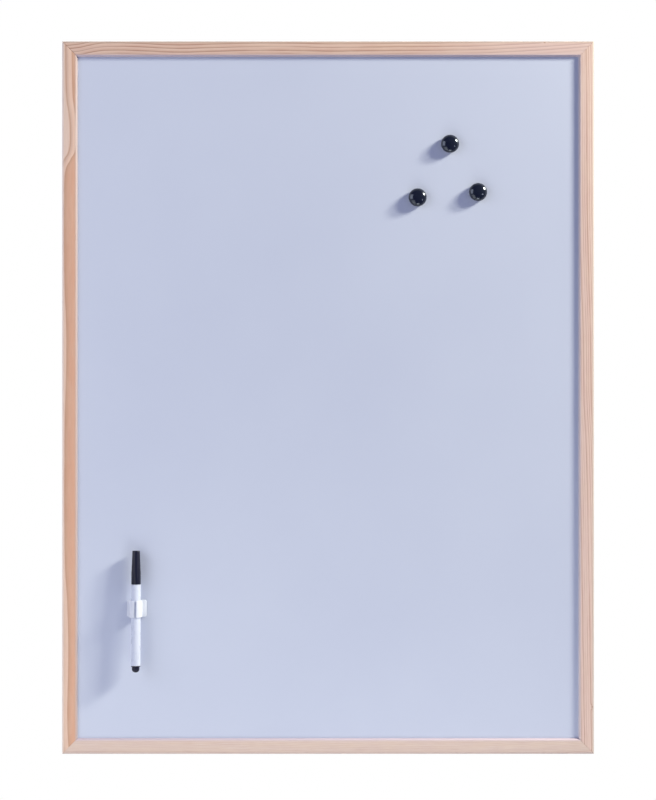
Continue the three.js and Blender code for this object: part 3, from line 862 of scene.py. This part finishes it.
def pressed_fibre(name, dark, light, grain, bump):
    """Board or paper of matted fibres."""
    sheet = Finish(name)
    place = sheet.place()
    mat = sheet.noise(place, grain, 5.0, 0.7)
    patch = sheet.noise(place, 40)
    amount = mat * 0.4 + patch * 0.15 + 0.5
    sheet.use(Base_Color=sheet.ramp(amount, [(0.2, dark), (0.8, light)]), Roughness=0.9 - amount * 0.15)
    sheet.raise_by(amount, bump, 0.7)
    return sheet


def dress_node(name, finish):
    """Give a CAD node its procedural finish. Its mesh is left alone."""
    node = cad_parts[name]
    for index in range(len(node.material_slots)):
        node.material_slots[index].material = finish.material
    print(name, "gets", finish.material.name)


dress_node("steel_face", satin_lacquer())
HARDBOARD = pressed_fibre("hardboard", tint(96, 66, 42), tint(146, 108, 74), 1.4, 0.12)
LINER = pressed_fibre("grey_liner", tint(172, 166, 154), tint(204, 199, 188), 2.4, 0.05)
dress_node("hardboard_core", HARDBOARD)
dress_node("back_liner", LINER)

# %% [markdown]
# ## Steel at the back
#
# Zinc plating is grey metal with a soft, cloudy sheen. The V-nails keep their
# CAD shape and only need that finish. The hanger plates and their screws are
# modelled again with finer edges.

# %% Zinc finish and V-nails
def zinc_plate():
    zinc = Finish("zinc_plate", Metallic=0.95)
    place = zinc.place()
    cloud = zinc.noise(place, 7, 4.0, 0.6)
    speck = zinc.noise(place, 0.8)
    colour = zinc.mottled(cloud, tint(158, 162, 166), tint(196, 199, 201))
    colour = zinc.blend(speck.band(0.45, 0.75) * 0.25, colour, tint(128, 130, 130))
    zinc.use(Base_Color=colour, Roughness=0.36 + cloud * 0.08)
    zinc.raise_by(speck * 0.5 + 0.5, 0.01, 0.5)
    return zinc


ZINC = zinc_plate()
for corner_name in CORNER_TURNS:
    for row in ("outer", "inner"):
        dress_node(f"v_nail_{corner_name}_{row}", ZINC)

# %% [markdown]
# A hanger plate is punched from sheet steel. The window is cut out with a
# block whose upper side is divided into narrow strips, and every second line
# of points is pulled down into a tooth. The edges are rounded slightly, as
# punching leaves them.

# %% Hanger plates
WINDOW_HALF, WINDOW_LOW, WINDOW_ROOTS = 15, 374.6, 382.6
TOOTH_DEPTH, TOOTH_COUNT, PLATE_EASE = 1.8, 10, 0.18


def window_cutter(centre):
    cutter = block("window", (centre - WINDOW_HALF, -3, WINDOW_LOW),
                   (centre + WINDOW_HALF, 2, WINDOW_ROOTS))
    pitch = 2 * WINDOW_HALF / TOOTH_COUNT
    with editing(cutter):
        for i in range(1, 2 * TOOTH_COUNT):
            bpy.ops.mesh.select_all(action="SELECT")
            bpy.ops.mesh.bisect(plane_co=mm(centre - WINDOW_HALF + i * pitch / 2, 0, 0),
                                plane_no=(1, 0, 0), threshold=1e-7)
        tips = [centre - WINDOW_HALF + (i + 0.5) * pitch for i in range(TOOTH_COUNT)]
        pick(cutter, "VERT", lambda point: near(point.co.z * 1000, WINDOW_ROOTS)
             and any(near(point.co.x * 1000, tip) for tip in tips))
        bpy.ops.transform.translate(value=mm(0, 0, -TOOTH_DEPTH))
    return cutter


def hanger_plate(name, centre):
    plate = rounded_block(name, (centre - PLATE_HALF, -PLATE_THICK, PLATE_LOW),
                          (centre + PLATE_HALF, 0, PLATE_HIGH), PLATE_CORNER)
    combine(plate, window_cutter(centre), "DIFFERENCE")
    for step in (-1, 1):
        combine(plate, screw_hole(centre + step * SCREW_REACH, 0.12, 48), "DIFFERENCE")
    with editing(plate):
        pick(plate, "EDGE", lambda edge: near(middle_of(edge).y, 0) and edge.is_manifold
             and edge.calc_face_angle(0) > 0.8)
        round_off(PLATE_EASE, 2)
    return plate


for side, sign in (("left", -1), ("right", 1)):
    plate = hanger_plate("toothed_plate_" + side, sign * PLATE_X)
    hand_over(plate, "board", "hanger_" + side, ZINC)

# %% [markdown]
# The screws are turned, with a slightly domed edge to the head. The cross in
# the head is cut with two thin blocks, deeper in the middle.

# %% Hanger screws
CROSS_HALF, CROSS_REACH, CROSS_DEPTH = 0.3, 1.6, 0.9


def hanger_screw(name):
    stations = [(TIP_RADIUS, -SCREW_LENGTH), (0.75, -6.2), (SHANK_RADIUS, -5.2)]
    stations += [(SHANK_RADIUS, -1.75), (SHANK_RADIUS + 0.12, -1.6), (HEAD_RADIUS - 0.08, -0.36)]
    stations += corner(HEAD_RADIUS - 0.2, -0.2, 0.2, 0, 90, 3) + [(0.2, 0.0)]
    screw = turned(name, stations, points=48)
    for half_x, half_y in ((CROSS_REACH, CROSS_HALF), (CROSS_HALF, CROSS_REACH)):
        slot_cutter = block("cross", (-half_x, -half_y, -CROSS_DEPTH), (half_x, half_y, 1))
        with editing(slot_cutter):
            pick(slot_cutter, "VERT", lambda point: point.co.z < 0)
            bpy.ops.transform.resize(value=(0.6, 0.6, 1), center_override=(0, 0, 0))
        combine(screw, slot_cutter, "DIFFERENCE")
    return screw


for side, sign in (("left", -1), ("right", 1)):
    for end, step in (("a", -1), ("b", 1)):
        screw = hanger_screw(f"plate_screw_{side}_{end}")
        set_in_place(screw, (sign * PLATE_X + step * SCREW_REACH, 0, SCREW_Z), LIE_BACK)
        hand_over(screw, "board", f"hanger_screw_{side}_{end}", ZINC)

# %% [markdown]
# ## Magnets
#
# A button magnet is a ferrite disc in a moulded black cap. The cap stands on
# a narrow foot, bulges out to its widest line a little below half its height,
# and closes in a shallow dome. Both curves are parts of ellipses, so the cap
# is turned from their stations. The gloss is the whole look of it: deep black
# in which every lamp is a bright spot near the rim, plus a few fine scuffs.

# %% Magnet finishes
def gloss_black():
    gloss = Finish("gloss_black", Specular_IOR_Level=0.85, Specular_Tint=(0.74, 0.82, 1.0, 1.0))
    place = gloss.place()
    smear = gloss.noise(place, 6, 3.0, 0.6)
    scuff = gloss.noise(place, (0.7, 6, 0.7)).band(0.5, 0.8)
    colour = gloss.mottled(smear, tint(19, 23, 32), tint(26, 30, 40))
    gloss.use(Base_Color=colour, Roughness=0.15 + smear * 0.04 + scuff * 0.08)
    gloss.raise_by(scuff, 0.01, 0.3)
    return gloss


def dull_ferrite():
    rough = Finish("dull_ferrite", Metallic=0.2, Roughness=0.62)
    speck = rough.noise(rough.place(), 0.5, 4.0, 0.7)
    rough.use(Base_Color=rough.mottled(speck, tint(46, 46, 50), tint(70, 70, 74)))
    rough.raise_by(speck * 0.5 + 0.5, 0.05, 0.8)
    return rough


GLOSS, FERRITE = gloss_black(), dull_ferrite()
print("finishes:", GLOSS.material.name, FERRITE.material.name)

# %% Turn the magnets
MAGNET_RADIUS, MAGNET_HEIGHT, MAGNET_FOOT, MAGNET_BELLY = 10.15, 10.0, 8.6, 4.3
POCKET_RADIUS, POCKET_DEPTH = 7.297, 4.0
DISC_RADIUS, DISC_LOW, DISC_HIGH, DISC_EASE = 6.997, 0.2, 3.7, 0.3
FLANK_STEPS, DOME_STEPS = 16, 28
MAGNETS = {1: (137.109, 285.111), 2: (100.692, 224.902), 3: (168.586, 230.888)}


def cap_stations():
    foot_angle = math.acos(MAGNET_FOOT / MAGNET_RADIUS)
    flank = MAGNET_BELLY / math.sin(foot_angle)
    dome = MAGNET_HEIGHT - MAGNET_BELLY
    stations = [(CLOSING, POCKET_DEPTH), (POCKET_RADIUS - 0.2, POCKET_DEPTH)]
    stations += [(POCKET_RADIUS, POCKET_DEPTH - 0.2), (POCKET_RADIUS, 0.25), (POCKET_RADIUS + 0.25, 0)]
    stations += [(MAGNET_FOOT - 0.2, 0), (MAGNET_FOOT, 0.15)]
    for i in range(2, FLANK_STEPS):
        angle = foot_angle * (1 - i / FLANK_STEPS)
        stations.append((MAGNET_RADIUS * math.cos(angle), MAGNET_BELLY - flank * math.sin(angle)))
    for i in range(DOME_STEPS):
        angle = math.pi / 2 * i / DOME_STEPS
        stations.append((MAGNET_RADIUS * math.cos(angle), MAGNET_BELLY + dome * math.sin(angle)))
    return stations


for number, (x, z) in MAGNETS.items():
    cap = turned(f"gloss_cap_{number}", cap_stations())
    disc = turned(f"ferrite_disc_{number}", [
        (CLOSING, DISC_LOW), (DISC_RADIUS - DISC_EASE, DISC_LOW), (DISC_RADIUS, DISC_LOW + DISC_EASE),
        (DISC_RADIUS, DISC_HIGH - DISC_EASE), (DISC_RADIUS - DISC_EASE, DISC_HIGH), (CLOSING, DISC_HIGH)])
    for piece, node, slot, finish in ((cap, "magnet_cap_", "black_gloss", GLOSS),
                                      (disc, "magnet_disc_", "ferrite", FERRITE)):
        set_in_place(piece, (x, -FACE_DEPTH, z), (math.pi / 2, 0, 0))
        hand_over(piece, f"magnet_{number}", f"{node}{number}", finish)

# %% [markdown]
# ## The marker's clip
#
# The clip is one white moulding: a base plate that is glued on, a short neck,
# and a sleeve with a slit in front, so that it can spring open round the
# marker. The sleeve is turned as a tube with rounded mouths, the neck and
# the plate are blocks with rounded edges, and a boolean joins them. The slit
# is cut last. The whole clip leans by 2.2 degrees, as the marker does.

# %% Place and tilt of the marker's axis
AXIS_PLACE = (-214.998, -FACE_DEPTH - 11.3925, -236.524)
AXIS_TILT = (-math.radians(2.2), 0, 0)
TAIL_DROP = 70.8


def on_axis(piece):
    """Lean a piece that was made upright, and move it to the marker's axis."""
    set_in_place(piece, AXIS_PLACE, AXIS_TILT)


# %% Plastic finishes
def moulded(name, low, high, roughness, specular=0.5, bump=0.012):
    """Moulded plastic: faint mottling, a fine satin grain, and uneven gloss."""
    plastic = Finish(name, Specular_IOR_Level=specular)
    place = plastic.place()
    mottle = plastic.noise(place, (5, 5, 10), 3.0, 0.6)
    grain = plastic.noise(place, 0.25)
    plastic.use(Base_Color=plastic.mottled(mottle, low, high), Roughness=roughness + mottle * 0.04)
    plastic.raise_by(grain * 0.5 + 0.5, bump, 0.4)
    return plastic


WHITE_PLASTIC = moulded("white_plastic", tint(202, 209, 228), tint(208, 214, 231), 0.28)
CLIP_PLASTIC = moulded("clip_plastic", tint(221, 226, 238), tint(227, 231, 241), 0.34)
BLACK_PLASTIC = moulded("black_plastic", tint(22, 24, 42), tint(29, 31, 49), 0.3, 0.3, 0.02)
print("finishes:", *(f.material.name for f in (WHITE_PLASTIC, CLIP_PLASTIC, BLACK_PLASTIC)))

# %% Model the clip
CLIP_HALF_WIDTH, CLIP_HALF_HEIGHT = 10.8, 9.4
SLEEVE_BORE, SLEEVE_RADIUS = 5.6, 7.15
BASE_FRONT, BASE_BACK, BASE_CORNER = 8.35, 10.15, 1.6
NECK_HALF, NECK_FLARE, NECK_SHORT = 3.5, 4.3, 0.5
MOUTH_ROUND, SLIT_HALF, SLIT_ROUND = 0.45, 1.3, 0.3

top = CLIP_HALF_HEIGHT
sleeve = [(SLEEVE_BORE, 0.0), (SLEEVE_BORE, top - 0.6), (SLEEVE_BORE + 0.5, top - 0.1)]
sleeve += corner(SLEEVE_RADIUS - MOUTH_ROUND, top - MOUTH_ROUND, MOUTH_ROUND, 90, 0, 4)
sleeve += [(SLEEVE_RADIUS, 0.0)]
sleeve += corner(SLEEVE_RADIUS - MOUTH_ROUND, MOUTH_ROUND - top, MOUTH_ROUND, 0, -90, 4)
sleeve += [(SLEEVE_BORE + 0.5, 0.1 - top), (SLEEVE_BORE, 0.6 - top), (SLEEVE_BORE, 0.0)]
clip = turned("clip_body", sleeve, tube=True)

neck = block("neck", (-NECK_HALF, 5.95, NECK_SHORT - top), (NECK_HALF, 8.6, top - NECK_SHORT))
with editing(neck):
    pick(neck, "VERT", lambda point: point.co.y > SLEEVE_RADIUS * MM)
    bpy.ops.transform.resize(value=(NECK_FLARE / NECK_HALF, 1, 1), center_override=(0, 0, 0))
combine(clip, neck, "UNION")

base = rounded_block("base", (-CLIP_HALF_WIDTH, BASE_FRONT, -CLIP_HALF_HEIGHT),
                     (CLIP_HALF_WIDTH, BASE_BACK, CLIP_HALF_HEIGHT), BASE_CORNER)
with editing(base):
    pick(base, "EDGE", lambda edge: all(near(p.co.y * 1000, BASE_FRONT) for p in edge.verts))
    round_off(MOUTH_ROUND, 3)
combine(clip, base, "UNION")

slit = block("slit", (-SLIT_HALF, -9, -12), (SLIT_HALF, -4, 12))
combine(clip, slit, "DIFFERENCE")
with editing(clip):
    pick(clip, "EDGE", lambda edge: along(edge, 2) and middle_of(edge).y < -4
         and near(abs(middle_of(edge).x), SLIT_HALF, 0.02))
    round_off(SLIT_ROUND, 3)
on_axis(clip)
hand_over(clip, "board", "marker_clip", CLIP_PLASTIC)

# %% [markdown]
# A slice of soft foam with glue on both sides holds the clip. It fills the
# wedge between the upright panel and the leaning plate. A block between the
# CAD pad's corners becomes that wedge when its upper front edge is moved
# back. Foam has no sharp corners, so its edges are rounded.

# %% Foam pad
CELLS_IN_A_METRE = 2600
PAD_TAPER, PAD_CORNER, PAD_EASE = 0.66, 1.4, 0.12


def soft_foam():
    foam = Finish("soft_foam", Roughness=0.95)
    spot = foam.node("TexCoord", output="Object")
    cells = foam.node("TexVoronoi", None, {"Vector": spot, "Scale": CELLS_IN_A_METRE}, "Distance")
    foam.use(Base_Color=foam.ramp(cells, [(0.1, tint(176, 176, 172)), (0.6, tint(221, 221, 217))]))
    foam.raise_by(cells, 0.15, 0.8)
    return foam


pad_low, pad_high = [[value * 1000 for value in point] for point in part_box("clip_pad")]
pad = block("foam_pad", pad_low, pad_high)
with editing(pad):
    pick(pad, "VERT", lambda point: near(point.co.z * 1000, pad_high[2])
         and near(point.co.y * 1000, pad_low[1]))
    bpy.ops.transform.translate(value=mm(0, PAD_TAPER, 0))
    pick(pad, "EDGE", lambda edge: along(edge, 1))
    round_off(PAD_CORNER, 5)
    pick(pad, "EDGE", lambda edge: edge.calc_face_angle(0) > 1.2)
    round_off(PAD_EASE, 2)
hand_over(pad, "board", "clip_pad", soft_foam())

# %% [markdown]
# ## The marker
#
# A whiteboard marker is a stack of turned plastic parts on one axis. Heights
# are measured up from the marker's tail, and each part is made upright and
# then leaned. The barrel is a white tube with a narrower neck. A black plug
# closes its lower end, with a thin flange and a domed tail.

# %% Barrel and plug
def marker_part(name, stations, body, node, finish, tube=False):
    stations = [(radius, height - TAIL_DROP) for radius, height in stations]
    piece = turned(name, stations, tube)
    on_axis(piece)
    hand_over(piece, body, node, finish)


BARREL_RADIUS, BARREL_BORE = 5.3, 4.2
NECK_RADIUS, NECK_BORE = 4.3, 3.3
BARREL_LOW, SHOULDER, NECK_ROOT, NECK_TOP = 7.6, 98, 95, 110
WALL_START = 40.0

marker_part(
    "barrel_tube",
    [(BARREL_BORE, WALL_START), (BARREL_BORE, BARREL_LOW + 0.1), (BARREL_BORE + 0.1, BARREL_LOW)]
    + corner(BARREL_RADIUS - 0.2, BARREL_LOW + 0.2, 0.2, -90, 0, 3)
    + corner(BARREL_RADIUS - 0.25, SHOULDER - 0.25, 0.25, 0, 90, 3)
    + [(NECK_RADIUS + 0.2, SHOULDER), (NECK_RADIUS, SHOULDER + 0.2)]
    + corner(NECK_RADIUS - 0.4, NECK_TOP - 0.4, 0.4, 0, 90, 4)
    + [(NECK_BORE + 0.1, NECK_TOP), (NECK_BORE, NECK_TOP - 0.1), (NECK_BORE, NECK_ROOT),
       (BARREL_BORE, NECK_ROOT), (BARREL_BORE, WALL_START)],
    "marker", "marker_barrel", WHITE_PLASTIC, tube=True)

TAIL_RADIUS, TAIL_ROUND, TAIL_LENGTH, FLANGE_TOP = 4.25, 3.9, 6.6, 7.3
PLUG_RADIUS, PLUG_TOP, PLUG_EASE = 3.9, 13.6, 0.4

marker_part(
    "tail_plug",
    [(0.25, 0.0)] + corner(TAIL_RADIUS - TAIL_ROUND, TAIL_ROUND, TAIL_ROUND, -90, 0, 12)
    + [(TAIL_RADIUS, TAIL_LENGTH - 0.2), (TAIL_RADIUS + 0.2, TAIL_LENGTH)]
    + corner(BARREL_RADIUS - 0.2, TAIL_LENGTH + 0.2, 0.2, -90, 0, 3)
    + corner(BARREL_RADIUS - 0.15, FLANGE_TOP - 0.15, 0.15, 0, 90, 3)
    + [(PLUG_RADIUS, FLANGE_TOP), (PLUG_RADIUS, PLUG_TOP - PLUG_EASE),
       (PLUG_RADIUS - PLUG_EASE, PLUG_TOP), (CLOSING, PLUG_TOP)],
    "marker", "end_plug", BLACK_PLASTIC)

# %% [markdown]
# The cap slides over the neck. Outside it has a straight skirt as wide as the
# barrel, a short step, a long slight taper and a rounded crown. Inside it is
# a socket for the neck, a throat that seals round the nib holder, and a
# narrow chamber. One run of stations goes from the chamber's ceiling down,
# round the mouth, and up the outside.

# %% Cap
CAP_MOUTH, CAP_TOP, CEILING = 98.3, 135.8, 134.8
CHAMBER, THROAT, SOCKET = 3.6, 4.15, 4.6
CHAMBER_LOW, THROAT_TOP, THROAT_LOW, SOCKET_TOP = 119.0, 118.45, 110.5, 110.4
SKIRT_TOP, STEP_TOP, STEP_RADIUS, TOP_RADIUS, CROWN = 111.8, 115.2, 5.05, 4.25, 0.8

marker_part(
    "pen_cap",
    [(CLOSING, CEILING), (CHAMBER - 0.3, CEILING), (CHAMBER, CEILING - 0.3),
     (CHAMBER, CHAMBER_LOW), (THROAT, THROAT_TOP), (THROAT, THROAT_LOW), (SOCKET, SOCKET_TOP),
     (SOCKET, CAP_MOUTH + 0.3), (SOCKET + 0.2, CAP_MOUTH)]
    + corner(BARREL_RADIUS - 0.2, CAP_MOUTH + 0.2, 0.2, -90, 0, 3)
    + [(BARREL_RADIUS, SKIRT_TOP - 0.3), (BARREL_RADIUS - 0.04, SKIRT_TOP + 0.2),
       (STEP_RADIUS + 0.02, STEP_TOP - 0.3), (STEP_RADIUS - 0.03, STEP_TOP + 0.4)]
    + corner(TOP_RADIUS - CROWN, CAP_TOP - CROWN, CROWN, 3, 90, 8) + [(CLOSING, CAP_TOP)],
    "cap", "marker_cap", BLACK_PLASTIC)

# %% [markdown]
# Under the cap is the writing end: a black cone seated in the neck, the felt
# nib in its bore, and the fibre core that feeds it. They show only when the
# cap is off, but a marker without them is no marker.

# %% Nib holder, nib and ink core
def matted(name, low, high, grain, bump):
    """Felt or fibre: short strands along the marker."""
    felt = Finish(name, Roughness=0.95)
    strand = felt.noise(felt.place(), (grain, grain, grain * 6), 4.0, 0.7)
    felt.use(Base_Color=felt.mottled(strand, low, high))
    felt.raise_by(strand * 0.5 + 0.5, bump, 0.9)
    return felt


HOLDER_LOW, BORE_START, HOLDER_SEAT, HOLDER_TOP = 102.5, 108.0, 110.3, 116.9
HOLDER_BORE, HOLDER_RADIUS = 2.5, 3.0
NIB_RADIUS, NIB_LOW, NIB_SHOULDER = 2.2, 95.0, 119.6
NIB_POINT = [(2.12, 120.1), (1.75, 121.0), (1.3, 121.7), (0.88, 122.1), (0.4, 122.28), (0.15, 122.3)]
CORE_RADIUS, CORE_LOW, CORE_TOP, CORE_EASE = 3.9, 14.6, 94.7, 0.2
INK_FELT = matted("ink_felt", tint(20, 20, 25), tint(38, 38, 46), 0.25, 0.1)
FIBRE_CORE = matted("fibre_core", tint(34, 34, 46), tint(62, 62, 80), 0.3, 0.15)

marker_part(
    "nib_cone",
    [(HOLDER_BORE, BORE_START), (HOLDER_BORE, HOLDER_LOW + 0.1), (HOLDER_BORE + 0.1, HOLDER_LOW),
     (HOLDER_RADIUS - 0.1, HOLDER_LOW), (HOLDER_RADIUS, HOLDER_LOW + 0.1),
     (HOLDER_RADIUS, HOLDER_SEAT), (3.7, HOLDER_SEAT), (3.85, HOLDER_SEAT + 0.15),
     (3.05, HOLDER_TOP - 0.25), (2.85, HOLDER_TOP), (HOLDER_BORE + 0.1, HOLDER_TOP),
     (HOLDER_BORE, HOLDER_TOP - 0.1), (HOLDER_BORE, BORE_START)],
    "marker", "nib_holder", BLACK_PLASTIC, tube=True)
marker_part(
    "felt_nib",
    [(CLOSING, NIB_LOW), (NIB_RADIUS - 0.1, NIB_LOW), (NIB_RADIUS, NIB_LOW + 0.1),
     (NIB_RADIUS, NIB_SHOULDER)] + NIB_POINT,
    "marker", "marker_nib", INK_FELT)
marker_part(
    "ink_core",
    [(CLOSING, CORE_LOW), (CORE_RADIUS - CORE_EASE, CORE_LOW), (CORE_RADIUS, CORE_LOW + CORE_EASE),
     (CORE_RADIUS, CORE_TOP - CORE_EASE), (CORE_RADIUS - CORE_EASE, CORE_TOP), (CLOSING, CORE_TOP)],
    "marker", "ink_reservoir", FIBRE_CORE)
